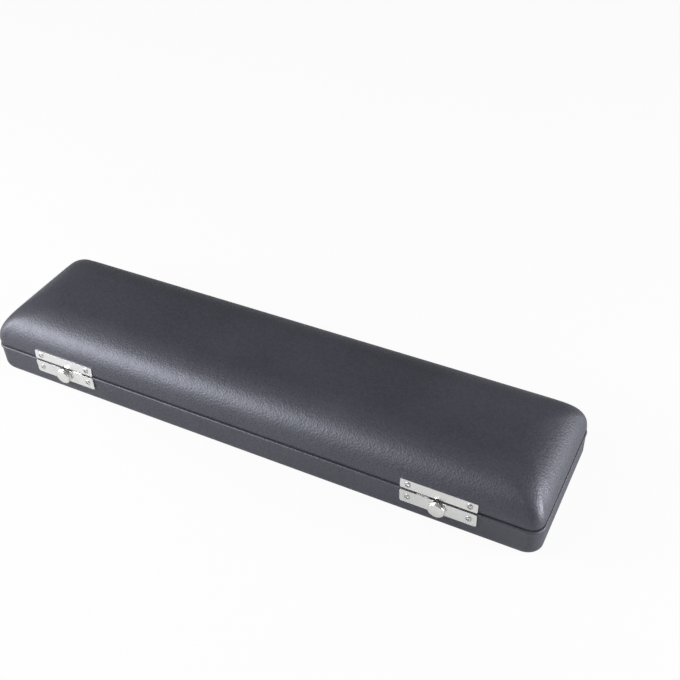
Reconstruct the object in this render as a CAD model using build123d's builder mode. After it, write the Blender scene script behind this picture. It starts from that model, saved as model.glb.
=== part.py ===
"""Hard case for a C-foot flute: a leather-covered wooden tray and pillow lid, joined at the back by two stop
hinges and held shut at the front by two sliding hook latches, with a fitted plush block inside.

Millimetres. X runs along the case, Y from front to back, Z up. The origin is the middle of the underside.
"""

import os
from math import atan2, cos, degrees, radians, sin, sqrt

from build123d import *

os.makedirs("parts", exist_ok=True)

# ---------------------------------------------------------------- case form
base_height = 23.8  # underside to the parting plane
lid_height = 27.0  # parting plane to the crown of the lid
parting_gap = 0.5  # seam between the two folded rims
corner_radius = 9.0  # upright corners in plan
lid_lip = 1.5  # upright band of the lid above the seam
lid_roll_side = 31.0  # how far the lid rolls in at front and back
lid_roll_end = 30.0  # and at the two ends
rim_arc_share = 0.94  # radius of the roll next to the rim, as a share of its height
ridge_arc_share = 0.745  # the same for the roll over the corner ridges
ridge_cut = 3.2  # how much of the sharp corner the ridge roll takes off
bottom_roll = 8.0  # rounding between the walls and the underside
rim_bevel = 0.7  # edge of the covering where it folds in at the seam

# ---------------------------------------------------------------- shells, covering and lining
skin = 1.0  # leathercloth over thin wadding
skin_return = 2.4  # how far the covering folds down inside the rim
base_wall = 5.0
base_floor = 4.0
lid_wall = 4.0
lining = 1.0

# ---------------------------------------------------------------- fitted block, which sets the case's size
body_channel_length = 356.0
body_channel_width = 27.0
head_channel_length = 226.0
head_channel_width = 25.0
foot_channel_length = 120.0
rod_end_margin = 8.0  # rod channel short of the body channel at each end
rod_channel_width = 9.0
rod_channel_depth = 8.0
channel_floor = 1.4
channel_spacing = 4.6  # wall of the block between two channels
channel_end_wall = 14.7
block_back_wall = 8.6
channel_bottom_radius = 8.0
channel_mouth_bevel = 1.0
block_top_drop = 5.0  # block top below the parting plane
block_clearance = 0.3
grip_width = 34.0  # cross trough for finger and thumb
grip_depth = 7.0
pad_end_margin = 5.0  # pad short of the flat crown inside the lid
pad_side_margin = 1.0
pad_thickness = 5.0
pad_bevel = 1.4

# ---------------------------------------------------------------- latches
latch_inset = 62.0  # end of the case to the middle of the latch
plate_length = 48.6
plate_height = 10.0
plate_thickness = 1.1
plate_corner = 1.4
plate_drop = 0.3  # top of the plate below the parting plane
flange_depth = 3.2
flange_thickness = 1.0
knob_diameter = 11.0
knob_height = 3.5
knob_lift = 0.15  # running gap over the plate
knob_bevel = 1.8  # bevelled edge of the face, across
knob_bevel_rise = 1.0  # and along the knob's axis
knob_travel = 3.5
stem_diameter = 3.4
stem_clearance = 0.1
bolt_thickness = 2.4
bolt_gap = 0.2
bolt_height = 5.2
bolt_inner_reach = 3.0  # from the knob's axis towards the hook
bolt_outer_reach = 9.0
nose_engagement = 2.5  # how far the nose lies over the hook's tooth
nose_height = 1.9
nose_clearance = 0.25
pocket_depth = 2.9
pocket_clearance = 0.25
spring_room = 7.5  # between the bolt and the end of the pocket
spring_strip = 0.4
spring_width = 2.2
spring_rise = 3.6
spring_folds = 6
spring_clearance = 0.1

# ---------------------------------------------------------------- strike plates with their hooks
strike_low = 1.1  # lower edge above the parting plane
strike_height = 6.5
strike_thickness = 1.0
strike_corner = 0.9
seat_depth = 0.3  # flat let into the covering, at the plate's lower edge
seat_clearance = 0.1
nick_radius = 0.8
hook_offset = 10.0  # hook's middle from the knob's axis
hook_width = 8.0
hook_thickness = 1.0
hook_inset = 0.6  # hook's front face behind the front of the case
hook_tooth = 1.6
hook_notch_depth = 3.5
hook_clearance = 0.4
hook_shoulder = 1.2
slot_length_clearance = 0.75

# ---------------------------------------------------------------- hinges
hinge_inset = 75.0  # end of the case to the middle of the hinge
leaf_length = 32.0
leaf_thickness = 1.0
leaf_depth = 8.0
leaf_corner = 1.2
knuckle_diameter = 4.6
knuckle_clearance = 0.3  # knuckle to the back of the case
knuckle_side_gap = 0.2
leaf_barrel_gap = 0.4
hinge_pin_diameter = 1.8
pin_fit = 0.03
lid_opening = 105.0  # degrees, where the stop lug meets the leaf
stop_reach = 2.6  # lug beyond the knuckle
stop_thickness = 1.0
stop_clearance = 0.08

# ---------------------------------------------------------------- places worked out from the sizes
cavity_inset = skin + base_wall
lid_cavity_inset = skin + lid_wall
block_inset = cavity_inset + lining + block_clearance
case_length = body_channel_length + 2 * (channel_end_wall + block_inset)
channels_width = body_channel_width + rod_channel_width + head_channel_width
case_width = channels_width + 3 * channel_spacing + block_back_wall + 2 * block_inset
latch_spacing = case_length - 2 * latch_inset
hinge_spacing = case_length - 2 * hinge_inset
parting = base_height
base_rim = parting - parting_gap / 2
lid_rim = parting + parting_gap / 2
front = -case_width / 2
back = case_width / 2
crown = parting + lid_height
roll_start = parting + lid_lip
roll_rise = lid_height - lid_lip
rim_arc = rim_arc_share * roll_rise
ridge_arc = ridge_arc_share * roll_rise
ridge_roll = (lid_roll_side + lid_roll_end) / sqrt(2)
ridge_width = (case_length + case_width) / sqrt(2) - 2 * ridge_cut
floor_level = skin + base_floor
block_bottom = floor_level
block_top = parting - block_top_drop
plate_top = parting - plate_drop
plate_middle = plate_top - plate_height / 2
nose_tip = hook_offset - hook_width / 2 + nose_engagement
pocket_outer_end = bolt_outer_reach + spring_room
hook_notch_low = plate_middle + bolt_height / 2 - nose_height - nose_clearance
hook_notch_high = plate_middle + bolt_height / 2 + nose_clearance
hook_bottom = hook_notch_low - hook_tooth
pocket_bottom = min(hook_bottom, plate_middle - bolt_height / 2) - pocket_clearance
hinge_axis_y = back + knuckle_clearance + knuckle_diameter / 2
barrel_reach = knuckle_diameter / 2 + leaf_barrel_gap
lid_tongue = barrel_reach - parting_gap
knuckle_length = (leaf_length - 2 * knuckle_side_gap) / 3
knuckle_step = knuckle_length + knuckle_side_gap
bore_radius = hinge_pin_diameter / 2 + pin_fit
SIDES = (("left", -1), ("right", 1))


def lid_setback(rise):
    """How far the lid's face has rolled in, this high above the parting plane."""
    return rim_arc - sqrt(rim_arc**2 - (rise - lid_lip) ** 2)


def lean_of(low, high):
    """Lean from upright, in degrees, of a flat plate laid on the lid between two heights."""
    return degrees(atan2(lid_setback(high) - lid_setback(low), high - low))


# ================================================================ forms shared by the shells
def tray_form(inset, top):
    """The base's outer form drawn in all round by inset: upright walls over a rolled underside."""
    with BuildPart() as form:
        with BuildSketch(Plane.XY.offset(inset)):
            RectangleRounded(case_length - 2 * inset, case_width - 2 * inset, corner_radius - inset)
        extrude(amount=top - inset)
        fillet(form.faces().sort_by(Axis.Z)[0].edges(), bottom_roll - inset)
    return form.part


def roll_section(plane, width, roll, first_arc, inset, bottom):
    """Section across the lid: upright lips, then a quick and a slow arc up to the flat crown at each side."""
    half = width / 2
    crown_arc = (roll**2 + roll_rise**2 - 2 * roll * first_arc) / (2 * (roll_rise - first_arc))
    turn = degrees(atan2(crown_arc - roll_rise, roll - first_arc))
    with BuildSketch(plane) as section:
        with BuildLine():
            Polyline((0, bottom), (half - inset, bottom), (half - inset, roll_start))
            CenterArc((half - first_arc, roll_start), first_arc - inset, 0, turn)
            CenterArc((half - roll, crown - crown_arc), crown_arc - inset, turn, 90 - turn)
            Line((half - roll, crown - inset), (0, crown - inset))
            mirror(about=Plane.YZ)
        make_face()
    return section.sketch


def lid_form(inset, bottom):
    """The pillow of the lid drawn in by inset: its rounded plan, cut by a roll along it and one across it."""
    with BuildPart() as form:
        add(cavity_form(inset, bottom, crown - inset))
        along = roll_section(Plane.YZ, case_width, lid_roll_side, rim_arc, inset, bottom)
        extrude(along, amount=case_length / 2, both=True, mode=Mode.INTERSECT)
        across = roll_section(Plane.XZ, case_length, lid_roll_end, rim_arc, inset, bottom)
        extrude(across, amount=case_width / 2, both=True, mode=Mode.INTERSECT)
    return form.part


def lid_outside(inset, bottom):
    """The pillow with its corner ridges rolled off along both diagonals."""
    with BuildPart() as form:
        add(lid_form(inset, bottom))
        for slant in (-1, 1):
            diagonal = Plane(origin=(0, 0, 0), x_dir=(1, slant, 0), z_dir=(slant, -1, 0))
            ridges = roll_section(diagonal, ridge_width, ridge_roll, ridge_arc, inset, bottom)
            extrude(ridges, amount=ridge_width / 2, both=True, mode=Mode.INTERSECT)
    return form.part


def cavity_form(inset, bottom, top):
    """An upright block with the case's plan, drawn in by inset."""
    with BuildPart() as form:
        with BuildSketch(Plane.XY.offset(bottom)):
            RectangleRounded(case_length - 2 * inset, case_width - 2 * inset, corner_radius - inset)
        extrude(amount=top - bottom)
    return form.part


def slab_between(low, high):
    """A slab with the case's bounding plan between two levels, for cutting."""
    with BuildPart() as form:
        with BuildSketch(Plane.XY.offset(low)):
            Rectangle(case_length, case_width)
        extrude(amount=high - low)
    return form.part


# ================================================================ planes that the fittings stand on
def front_plane(x, z, proud=0.0):
    """On the front wall, facing forward."""
    return Plane(origin=(x, front - proud, z), x_dir=(1, 0, 0), z_dir=(0, -1, 0))


def back_plane(x, z, proud=0.0):
    """On the back wall, facing back."""
    return Plane(origin=(x, back + proud, z), x_dir=(-1, 0, 0), z_dir=(0, 1, 0))


def lid_seat_plane(x, low, height, facing):
    """On the leaning face of the lid: facing is -1 at the front and 1 at the back."""
    lean = radians(lean_of(low, low + height))
    inward = lid_setback(low) + seat_depth
    origin = (x, facing * (case_width / 2 - inward), parting + low)
    return Plane(origin=origin, x_dir=(-facing, 0, 0), z_dir=(0, facing * cos(lean), sin(lean)))


strike_planes = {}
lid_leaf_planes = {}
base_leaf_planes = {}
for side, sign in SIDES:
    latch_x = sign * latch_spacing / 2
    hinge_x = sign * hinge_spacing / 2
    strike_planes[side] = lid_seat_plane(latch_x, strike_low, strike_height, -1)
    lid_leaf_planes[side] = lid_seat_plane(hinge_x, barrel_reach, leaf_depth, 1)
    base_leaf_planes[side] = back_plane(hinge_x, parting - barrel_reach - leaf_depth)


# ================================================================ cutters that the shells share
with BuildPart() as latch_pockets:
    for side, sign in SIDES:
        latch_x = sign * latch_spacing / 2
        with BuildSketch(Plane.XZ.offset(-front)):
            inner_end = hook_offset + hook_width / 2 + slot_length_clearance
            with BuildLine():
                Polyline(
                    (latch_x - sign * inner_end, pocket_bottom),
                    (latch_x + sign * pocket_outer_end, pocket_bottom),
                    (latch_x + sign * pocket_outer_end, plate_top - flange_thickness),
                    (latch_x - sign * inner_end, plate_top - flange_thickness),
                    close=True,
                )
            make_face()
        extrude(amount=-pocket_depth)
        with BuildSketch(Plane.XZ.offset(-front)):
            flange_middle = (plate_top - flange_thickness + parting) / 2
            with Locations((latch_x, flange_middle)):
                Rectangle(plate_length + 2 * seat_clearance, parting - plate_top + flange_thickness)
        extrude(amount=-flange_depth - seat_clearance)

with BuildPart() as lid_hook_notches:
    for side, sign in SIDES:
        hook_x = sign * (latch_spacing / 2 - hook_offset)
        notch_top = parting + strike_low + hook_shoulder + seat_clearance
        with BuildSketch(Plane.XZ.offset(-front + skin)):
            with Locations((hook_x, (parting + notch_top) / 2)):
                Rectangle(hook_width + 2 * slot_length_clearance, notch_top - parting)
        extrude(amount=-(skin + hook_inset + hook_thickness + hook_clearance))

with BuildPart() as lid_seats:
    for side, sign in SIDES:
        with BuildSketch(strike_planes[side]):
            with Locations((0, strike_height / 2)):
                Rectangle(plate_length + 2 * seat_clearance, strike_height + 2 * seat_clearance)
        extrude(amount=strike_thickness + skin)
        with BuildSketch(lid_leaf_planes[side]):
            with Locations((0, leaf_depth / 2)):
                Rectangle(leaf_length + 2 * seat_clearance, leaf_depth + 2 * seat_clearance)
        extrude(amount=leaf_thickness + skin)
        with BuildSketch(lid_leaf_planes[side]):
            with Locations((0, -barrel_reach)):
                Rectangle(knuckle_length + 2 * seat_clearance, 2 * barrel_reach)
        extrude(amount=leaf_thickness + skin)

# ================================================================ base: shell, covering, lining, block
with BuildPart() as base_shell:
    add(tray_form(skin, base_rim - skin))
    add(cavity_form(cavity_inset, floor_level, parting), mode=Mode.SUBTRACT)
    add(latch_pockets.part, mode=Mode.SUBTRACT)
base_shell.part.label = "base_shell"
export_step(base_shell.part, "parts/base_shell.step")

with BuildPart() as base_covering:
    add(tray_form(0, base_rim))
    chamfer(base_covering.faces().sort_by(Axis.Z)[-1].edges(), rim_bevel)
    add(tray_form(skin, base_rim - skin), mode=Mode.SUBTRACT)
    add(cavity_form(cavity_inset, base_rim - skin_return, base_rim - skin))
    add(cavity_form(cavity_inset + skin, floor_level, parting), mode=Mode.SUBTRACT)
    add(latch_pockets.part, mode=Mode.SUBTRACT)
base_covering.part.label = "base_covering"
export_step(base_covering.part, "parts/base_covering.step")

with BuildPart() as base_lining:
    add(cavity_form(cavity_inset, floor_level, base_rim - skin_return))
    add(cavity_form(cavity_inset + lining, floor_level, base_rim), mode=Mode.SUBTRACT)
base_lining.part.label = "base_lining"
export_step(base_lining.part, "parts/base_lining.step")

block_front = front + block_inset
body_channel_y = block_front + channel_spacing + body_channel_width / 2
rod_channel_y = body_channel_y + body_channel_width / 2 + channel_spacing + rod_channel_width / 2
head_channel_y = rod_channel_y + rod_channel_width / 2 + channel_spacing + head_channel_width / 2
channel_bottom = block_bottom + channel_floor
rear_row_start = -body_channel_length / 2
head_channel_x = rear_row_start + head_channel_length / 2
foot_channel_x = body_channel_length / 2 - foot_channel_length / 2


def channel(x, y, length, width, bottom, bottom_radius):
    """A trough with a rounded floor, to be cut from the block."""
    middle = Plane(origin=(x, y, block_top), x_dir=(0, 1, 0), z_dir=(1, 0, 0))
    with BuildPart() as trough:
        with BuildSketch(middle) as section:
            with Locations((0, (bottom - block_top) / 2)):
                Rectangle(width, block_top - bottom)
            fillet(section.vertices().group_by(Axis.Y)[0], bottom_radius)
        extrude(amount=length / 2, both=True)
    return trough.part


with BuildPart() as flute_block:
    add(cavity_form(block_inset, block_bottom, block_top))
    add(
        channel(0, body_channel_y, body_channel_length, body_channel_width, channel_bottom,
                channel_bottom_radius),
        mode=Mode.SUBTRACT,
    )
    add(
        channel(head_channel_x, head_channel_y, head_channel_length, head_channel_width, channel_bottom,
                channel_bottom_radius),
        mode=Mode.SUBTRACT,
    )
    add(
        channel(foot_channel_x, head_channel_y, foot_channel_length, head_channel_width, channel_bottom,
                channel_bottom_radius),
        mode=Mode.SUBTRACT,
    )
    rod_bottom = block_top - rod_channel_depth
    add(
        channel(0, rod_channel_y, body_channel_length - 2 * rod_end_margin, rod_channel_width, rod_bottom,
                rod_channel_width / 3),
        mode=Mode.SUBTRACT,
    )
    chamfer(flute_block.faces().sort_by(Axis.Z)[-1].inner_wires().edges(), channel_mouth_bevel)
    grip_back = head_channel_y + head_channel_width / 2
    grip_front = body_channel_y - body_channel_width / 2
    grip_radius = (grip_width**2 / 4 + grip_depth**2) / (2 * grip_depth)
    with BuildSketch(Plane.XZ.offset(-grip_front)):
        with Locations((0, block_top + grip_radius - grip_depth)):
            Circle(grip_radius)
    extrude(amount=grip_front - grip_back, mode=Mode.SUBTRACT)
flute_block.part.label = "flute_block"
export_step(flute_block.part, "parts/flute_block.step")

# ================================================================ lid: shell, covering, lining, pad
with BuildPart() as lid_shell:
    add(lid_outside(skin, lid_rim + skin))
    add(lid_form(lid_cavity_inset, parting), mode=Mode.SUBTRACT)
    add(lid_seats.part, mode=Mode.SUBTRACT)
    add(lid_hook_notches.part, mode=Mode.SUBTRACT)
lid_shell.part.label = "lid_shell"
export_step(lid_shell.part, "parts/lid_shell.step")

lid_lining_low = lid_rim + skin_return
with BuildPart() as lid_return:
    add(lid_form(lid_cavity_inset, parting))
    add(slab_between(lid_rim, lid_lining_low), mode=Mode.INTERSECT)

with BuildPart() as lid_covering:
    add(lid_outside(0, lid_rim))
    chamfer(lid_covering.faces().sort_by(Axis.Z)[0].edges(), rim_bevel)
    add(lid_outside(skin, lid_rim + skin), mode=Mode.SUBTRACT)
    add(lid_return.part)
    add(lid_form(lid_cavity_inset + skin, parting), mode=Mode.SUBTRACT)
    add(lid_seats.part, mode=Mode.SUBTRACT)
    add(lid_hook_notches.part, mode=Mode.SUBTRACT)
lid_covering.part.label = "lid_covering"
export_step(lid_covering.part, "parts/lid_covering.step")

with BuildPart() as lid_lining:
    add(lid_form(lid_cavity_inset, parting))
    add(lid_form(lid_cavity_inset + lining, parting), mode=Mode.SUBTRACT)
    add(slab_between(parting, lid_lining_low), mode=Mode.SUBTRACT)
lid_lining.part.label = "lid_lining"
export_step(lid_lining.part, "parts/lid_lining.step")

lid_ceiling = crown - lid_cavity_inset - lining
pad_length = case_length - 2 * (lid_roll_end + pad_end_margin)
pad_width = case_width - 2 * (lid_roll_side + pad_side_margin)
with BuildPart() as lid_pad:
    with BuildSketch(Plane.XY.offset(lid_ceiling - pad_thickness)):
        RectangleRounded(pad_length, pad_width, corner_radius)
    extrude(amount=pad_thickness)
    chamfer(lid_pad.faces().sort_by(Axis.Z)[0].edges(), pad_bevel)
lid_pad.part.label = "lid_pad"
export_step(lid_pad.part, "parts/lid_pad.step")

# ================================================================ latches
for side, sign in SIDES:
    latch_x = sign * latch_spacing / 2
    hook_x = latch_x - sign * hook_offset
    hook_front = front + hook_inset

    # Face plate of the latch, with the folded top flange that the hook drops through.
    with BuildPart() as latch_plate:
        with BuildSketch(front_plane(latch_x, plate_middle)) as face:
            Rectangle(plate_length, plate_height)
            fillet(face.vertices(), plate_corner)
        extrude(amount=plate_thickness)
        with BuildSketch(Plane.XY.offset(plate_top)):
            with Locations((latch_x, front + flange_depth / 2 - plate_thickness / 2)):
                Rectangle(plate_length - 2 * plate_corner, flange_depth + plate_thickness)
        extrude(amount=-flange_thickness)
        with BuildSketch(Plane.XY.offset(plate_top)):
            with Locations((hook_x, hook_front + hook_thickness / 2)):
                Rectangle(hook_width + 2 * slot_length_clearance, hook_thickness + 2 * hook_clearance)
        extrude(amount=-flange_thickness, mode=Mode.SUBTRACT)
        with BuildSketch(front_plane(latch_x + sign * knob_travel / 2, plate_middle)):
            SlotCenterToCenter(knob_travel, stem_diameter + 2 * stem_clearance)
        extrude(amount=plate_thickness, mode=Mode.SUBTRACT)
    latch_plate.part.label = f"latch_plate_{side}"
    export_step(latch_plate.part, f"parts/latch_plate_{side}.step")

    # Round knob with a bevelled face, and the stem that carries the bolt.
    knob_base = plate_thickness + knob_lift
    knob_face = knob_base + knob_height
    knob_radius = knob_diameter / 2
    knob_plane = Plane(origin=(latch_x, front, plate_middle), x_dir=(1, 0, 0), z_dir=(0, 0, -1))
    with BuildPart() as latch_knob:
        with BuildSketch(knob_plane):
            with BuildLine():
                Polyline(
                    (0, knob_face),
                    (0, -bolt_gap - bolt_thickness),
                    (stem_diameter / 2, -bolt_gap - bolt_thickness),
                    (stem_diameter / 2, knob_base),
                    (knob_radius, knob_base),
                    (knob_radius, knob_face - knob_bevel_rise),
                    (knob_radius - knob_bevel, knob_face),
                    close=True,
                )
            make_face()
        revolve(axis=Axis((latch_x, front, plate_middle), (0, -1, 0)))
    latch_knob.part.label = f"latch_knob_{side}"
    export_step(latch_knob.part, f"parts/latch_knob_{side}.step")

    # Spring bolt behind the plate: a bar on the knob's stem, with a ramped nose over the hook's tooth.
    bolt_top = plate_middle + bolt_height / 2
    bolt_low = plate_middle - bolt_height / 2
    with BuildPart() as latch_bolt:
        with BuildSketch(Plane.XZ.offset(-front - bolt_gap)):
            with BuildLine():
                Polyline(
                    (latch_x + sign * bolt_outer_reach, bolt_low),
                    (latch_x + sign * bolt_outer_reach, bolt_top),
                    (latch_x - sign * (nose_tip - nose_height), bolt_top),
                    (latch_x - sign * nose_tip, bolt_top - nose_height / 2),
                    (latch_x - sign * nose_tip, bolt_top - nose_height),
                    (latch_x - sign * bolt_inner_reach, bolt_top - nose_height),
                    (latch_x - sign * bolt_inner_reach, bolt_low),
                    close=True,
                )
            make_face()
        extrude(amount=-bolt_thickness)
        with BuildSketch(front_plane(latch_x, plate_middle)):
            Circle(stem_diameter / 2)
        extrude(amount=-bolt_gap - bolt_thickness, mode=Mode.SUBTRACT)
    latch_bolt.part.label = f"latch_bolt_{side}"
    export_step(latch_bolt.part, f"parts/latch_bolt_{side}.step")

    # Folded strip spring between the bolt and the outer end of the pocket.
    spring_start = latch_x + sign * (bolt_outer_reach + spring_clearance)
    fold_step = (spring_room - 2 * spring_clearance - spring_strip) / spring_folds
    with BuildPart() as latch_spring:
        with BuildSketch(Plane.XZ.offset(-front - bolt_gap)):
            for fold in range(spring_folds):
                near_x = spring_start + sign * fold * fold_step
                far_x = near_x + sign * fold_step
                near_z = plate_middle + (-1) ** fold * spring_rise / 2
                far_z = 2 * plate_middle - near_z
                with BuildLine():
                    Polyline(
                        (near_x, near_z),
                        (near_x + sign * spring_strip, near_z),
                        (far_x + sign * spring_strip, far_z),
                        (far_x, far_z),
                        close=True,
                    )
                make_face()
        extrude(amount=-spring_width)
    latch_spring.part.label = f"latch_spring_{side}"
    export_step(latch_spring.part, f"parts/latch_spring_{side}.step")

    # Strike plate on the lid, with the hook that drops into the latch.
    with BuildPart() as strike_plate:
        with BuildSketch(strike_planes[side]) as face:
            with Locations((0, strike_height / 2)):
                RectangleRounded(plate_length, strike_height, strike_corner)
            Circle(nick_radius, mode=Mode.SUBTRACT)
        extrude(amount=strike_thickness)
        with BuildSketch(Plane.XZ.offset(-hook_front)):
            shoulder_low = parting + strike_low
            hook_inner = hook_x - sign * hook_width / 2
            hook_outer = hook_x + sign * hook_width / 2
            notch_end = hook_outer - sign * hook_notch_depth
            with BuildLine():
                Polyline(
                    (hook_inner, shoulder_low + hook_shoulder),
                    (hook_inner, hook_bottom),
                    (hook_outer - sign * hook_tooth, hook_bottom),
                    (hook_outer, hook_bottom + hook_tooth / 2),
                    (hook_outer, hook_notch_low),
                    (notch_end, hook_notch_low),
                    (notch_end, hook_notch_high),
                    (hook_outer, hook_notch_high),
                    (hook_outer, shoulder_low + hook_shoulder),
                    close=True,
                )
            make_face()
        extrude(amount=-hook_thickness)
        with BuildSketch(Plane.XY.offset(shoulder_low)):
            with Locations((hook_x, hook_front)):
                Rectangle(hook_width, 2 * hook_thickness)
        extrude(amount=hook_shoulder)
    strike_plate.part.label = f"strike_plate_{side}"
    export_step(strike_plate.part, f"parts/strike_plate_{side}.step")


# ================================================================ hinges
def knuckle_profile(x, turn=0.0):
    """Section through a knuckle at its left-hand end, along the hinge's axis, turned about it in degrees."""
    across = (0, cos(radians(turn)), sin(radians(turn)))
    return Plane(origin=(x - knuckle_length / 2, hinge_axis_y, parting), x_dir=across, z_dir=(1, 0, 0))


for side, sign in SIDES:
    hinge_x = sign * hinge_spacing / 2
    tongue_y = -knuckle_diameter / 2 + leaf_thickness / 2

    with BuildPart() as hinge_base_leaf:
        with BuildSketch(base_leaf_planes[side]):
            with Locations((0, leaf_depth / 2)):
                RectangleRounded(leaf_length, leaf_depth, leaf_corner)
        extrude(amount=leaf_thickness)
        for place in (-knuckle_step, knuckle_step):
            with BuildSketch(knuckle_profile(hinge_x + place)):
                Circle(knuckle_diameter / 2)
                with Locations((tongue_y, -(barrel_reach + leaf_corner) / 2)):
                    Rectangle(leaf_thickness, barrel_reach + leaf_corner)
                Circle(bore_radius, mode=Mode.SUBTRACT)
            extrude(amount=knuckle_length)
    hinge_base_leaf.part.label = f"hinge_base_leaf_{side}"
    export_step(hinge_base_leaf.part, f"parts/hinge_base_leaf_{side}.step")

    # The lug behind the middle knuckle lies flat on the base leaf when the lid is fully open.
    leaf_face = back + leaf_thickness - hinge_axis_y
    with BuildPart() as hinge_lid_leaf:
        with BuildSketch(lid_leaf_planes[side]):
            with Locations((0, leaf_depth / 2)):
                RectangleRounded(leaf_length, leaf_depth, leaf_corner)
        extrude(amount=leaf_thickness)
        with BuildSketch(lid_leaf_planes[side]):
            with Locations((0, (leaf_corner - lid_tongue) / 2)):
                Rectangle(knuckle_length, leaf_corner + lid_tongue)
        extrude(amount=leaf_thickness)
        with BuildSketch(knuckle_profile(hinge_x)):
            Circle(knuckle_diameter / 2)
        extrude(amount=knuckle_length)
        with BuildSketch(knuckle_profile(hinge_x, lid_opening)):
            lug_low = -knuckle_diameter / 2 - stop_reach
            with Locations((leaf_face + stop_clearance + stop_thickness / 2, lug_low / 2)):
                Rectangle(stop_thickness, -lug_low)
        extrude(amount=knuckle_length)
        with BuildSketch(knuckle_profile(hinge_x)):
            Circle(bore_radius)
        extrude(amount=knuckle_length, mode=Mode.SUBTRACT)
    hinge_lid_leaf.part.label = f"hinge_lid_leaf_{side}"
    export_step(hinge_lid_leaf.part, f"parts/hinge_lid_leaf_{side}.step")

    with BuildPart() as hinge_pin:
        pin_start = Plane(
            origin=(hinge_x - leaf_length / 2, hinge_axis_y, parting), x_dir=(0, 1, 0), z_dir=(1, 0, 0)
        )
        with BuildSketch(pin_start):
            Circle(hinge_pin_diameter / 2)
        extrude(amount=leaf_length)
    hinge_pin.part.label = f"hinge_pin_{side}"
    export_step(hinge_pin.part, f"parts/hinge_pin_{side}.step")
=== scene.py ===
"""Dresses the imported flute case: leathercloth over a pillow lid, nickel latches and a plush inside.

Metres, in the frame of the CAD model: X along the case, Y from front to back, Z up.
"""

import math
import random

import bmesh
import bpy
from mathutils import Matrix, Vector


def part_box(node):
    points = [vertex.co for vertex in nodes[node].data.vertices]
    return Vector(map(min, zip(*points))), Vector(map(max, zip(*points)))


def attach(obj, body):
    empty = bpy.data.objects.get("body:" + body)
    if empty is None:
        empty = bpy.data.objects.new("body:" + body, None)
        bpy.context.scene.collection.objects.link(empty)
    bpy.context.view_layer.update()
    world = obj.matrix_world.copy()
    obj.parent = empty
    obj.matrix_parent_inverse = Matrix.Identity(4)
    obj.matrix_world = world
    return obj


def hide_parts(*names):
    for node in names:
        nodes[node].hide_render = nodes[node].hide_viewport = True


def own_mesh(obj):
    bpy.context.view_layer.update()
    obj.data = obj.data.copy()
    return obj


MM = 0.001
QUARTER_TURN = math.radians(90)
SIDES = (("left", -1), ("right", 1))

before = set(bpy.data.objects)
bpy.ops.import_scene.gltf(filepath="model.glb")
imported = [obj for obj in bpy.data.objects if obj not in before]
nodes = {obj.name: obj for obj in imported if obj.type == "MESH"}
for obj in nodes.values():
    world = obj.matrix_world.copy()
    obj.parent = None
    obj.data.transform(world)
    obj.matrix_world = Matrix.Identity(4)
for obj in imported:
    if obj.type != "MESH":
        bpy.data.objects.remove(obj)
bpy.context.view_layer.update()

# ---------------------------------------------------------------- sizes read from the frame
_, tray_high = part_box("base_covering")
lid_low, lid_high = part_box("lid_covering")
HALF_LENGTH = tray_high.x
HALF_WIDTH = tray_high.y
BASE_RIM = tray_high.z
LID_RIM = lid_low.z
CROWN = lid_high.z
PARTING = (BASE_RIM + LID_RIM) / 2
FRONT = -HALF_WIDTH

# ---------------------------------------------------------------- leather forms
CORNER_RADIUS = 9 * MM
LID_LIP = 1.5 * MM  # upright band of the lid above the seam
LID_ROLL_SIDE = 31 * MM  # how far the lid rolls in at front and back
LID_ROLL_END = 30 * MM  # and at the two ends
RIM_ARC_SHARE = 0.94  # radius of the roll next to the rim, as a share of its height
ROLL_START = PARTING + LID_LIP
ROLL_RISE = CROWN - ROLL_START
RIM_ARC = RIM_ARC_SHARE * ROLL_RISE
BOTTOM_ROLL = 8 * MM
SKIN = 1 * MM
RETURN_DEPTH = 2.4 * MM  # how far the leather folds down inside the rims
BASE_RETURN = 6 * MM  # outer face of the fold inside the tray, from the case's outside
LID_RETURN = 5 * MM
FOLD_RADIUS = 1 * MM  # leather folded over the rims
FOLD_LEAST_CORNER = 0.6 * MM
RIM_BEAD = 0.4 * MM  # how far the folded leather stands out at the base's rim
RIM_BEAD_HEIGHT = 1.4 * MM
RIM_DRAW = 0.6 * MM  # how far the lid's edge is drawn in above the seam
RIM_DRAW_HEIGHT = 2.2 * MM

# Plan corners change on the way up or down, by shares of CORNER_RADIUS or of the way rolled in.
RIDGE_TIGHTENING = 0.1
RIDGE_END = 0.7  # share of the roll's rise
CROWN_OPENING = 0.9
UNDERSIDE_OPENING = 0.3

# Leather is drawn in beside each corner ridge, with a few pleats close to the rim.
HOLLOW_DEPTH = 0.45 * MM
HOLLOW_PLACE = 8 * MM  # along from the corner
HOLLOW_WIDTH = 4 * MM
HOLLOW_END = 0.85  # share of the roll's rise
HOLLOW_FADE = 1.2
PLEAT_COUNT = 4
PLEAT_HEIGHT = 0.07 * MM
PLEAT_DRAW = 0.1 * MM
PLEAT_REACH = 9 * MM  # along from the corner
PLEAT_RISE = 11 * MM
PLEAT_LEAN = 0.25

# ---------------------------------------------------------------- cuts in the leather for the fittings
CUT_ROOM = 0.1 * MM
OVERCUT = 5 * MM  # how far a cutting box reaches past the leather
NOTCH_DEPTH = 2 * MM  # notch in the lid's rim that the hook comes through
NOTCH_COVERED = 1.3 * MM  # upper part of the notch, behind the strike plate
HOOK_OFFSET = 10 * MM
HOOK_HALF_ROOM = 4.75 * MM
BOLT_ROOM = 0.5 * MM

# ---------------------------------------------------------------- how finely forms are divided
CORNER_STEPS = 16
LONG_SIDE_STEPS = 90
SHORT_SIDE_STEPS = 24
ROLL_STEPS = 34
UNDERSIDE_STEPS = 12
UNDERSIDE_INNER_STEPS = 8
FOLD_STEPS = 4
WALL_STEPS = 13

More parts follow.
